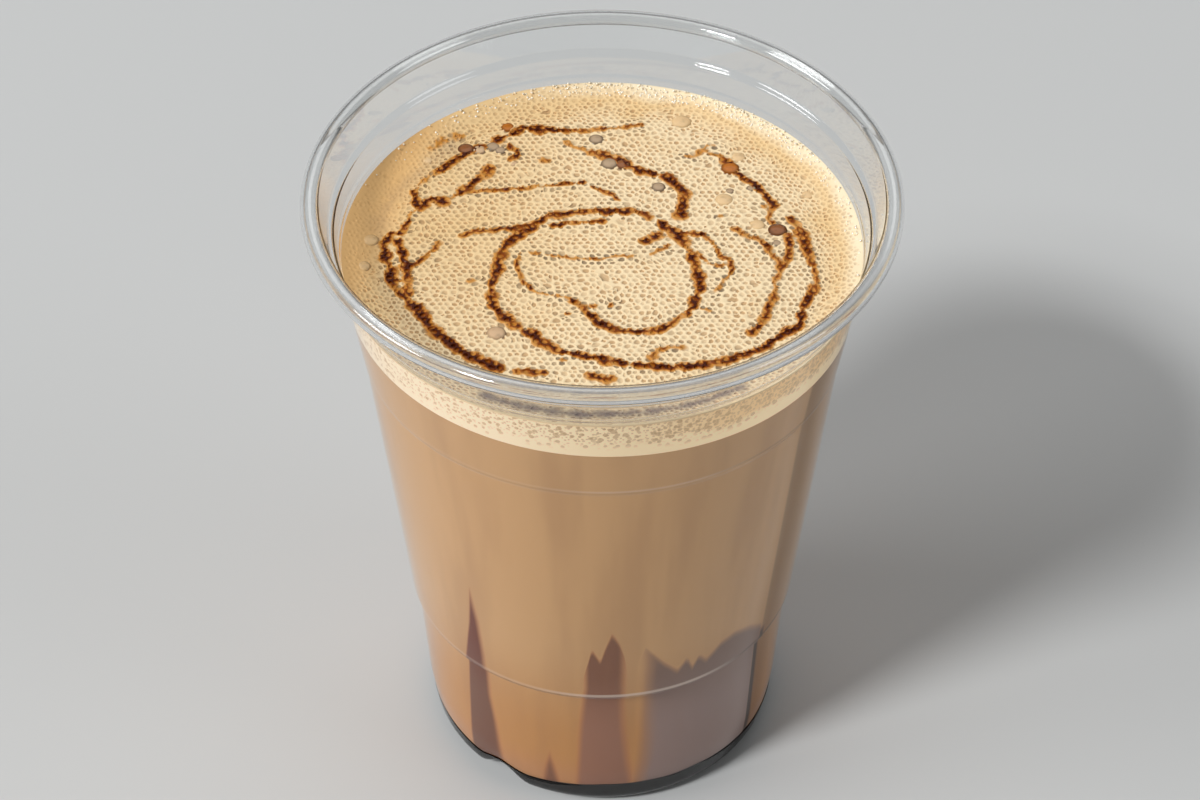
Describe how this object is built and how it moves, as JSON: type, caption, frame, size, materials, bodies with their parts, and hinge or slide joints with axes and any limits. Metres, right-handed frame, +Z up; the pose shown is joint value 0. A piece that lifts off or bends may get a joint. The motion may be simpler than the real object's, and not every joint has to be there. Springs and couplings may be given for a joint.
{
  "type": "chocolate milkshake",
  "caption": "Clear plastic cup with a rolled rim, filled with chocolate milkshake under bubbly foam with drizzled syrup, and syrup settled at the foot.",
  "frame": {"origin": "middle of the foot, on the surface the cup stands on", "axes": "+Z up along the cup's axis; -Y towards the side that the picture shows, +X to its right"},
  "size_m": [0.095, 0.095, 0.114],
  "materials": {
    "clear_pet": "clear, glossy, thin-walled",
    "milk_chocolate": "opaque drink behind a clear wall",
    "milk_foam": "moist foam of small bubbles, with dark glossy syrup drizzled on it",
    "chocolate_syrup": "dark glossy syrup"
  },
  "bodies": {
    "root": {"cup": "clear_pet", "milkshake": "milk_chocolate", "foam": "milk_foam", "syrup": "chocolate_syrup"}
  },
  "joints": []
}
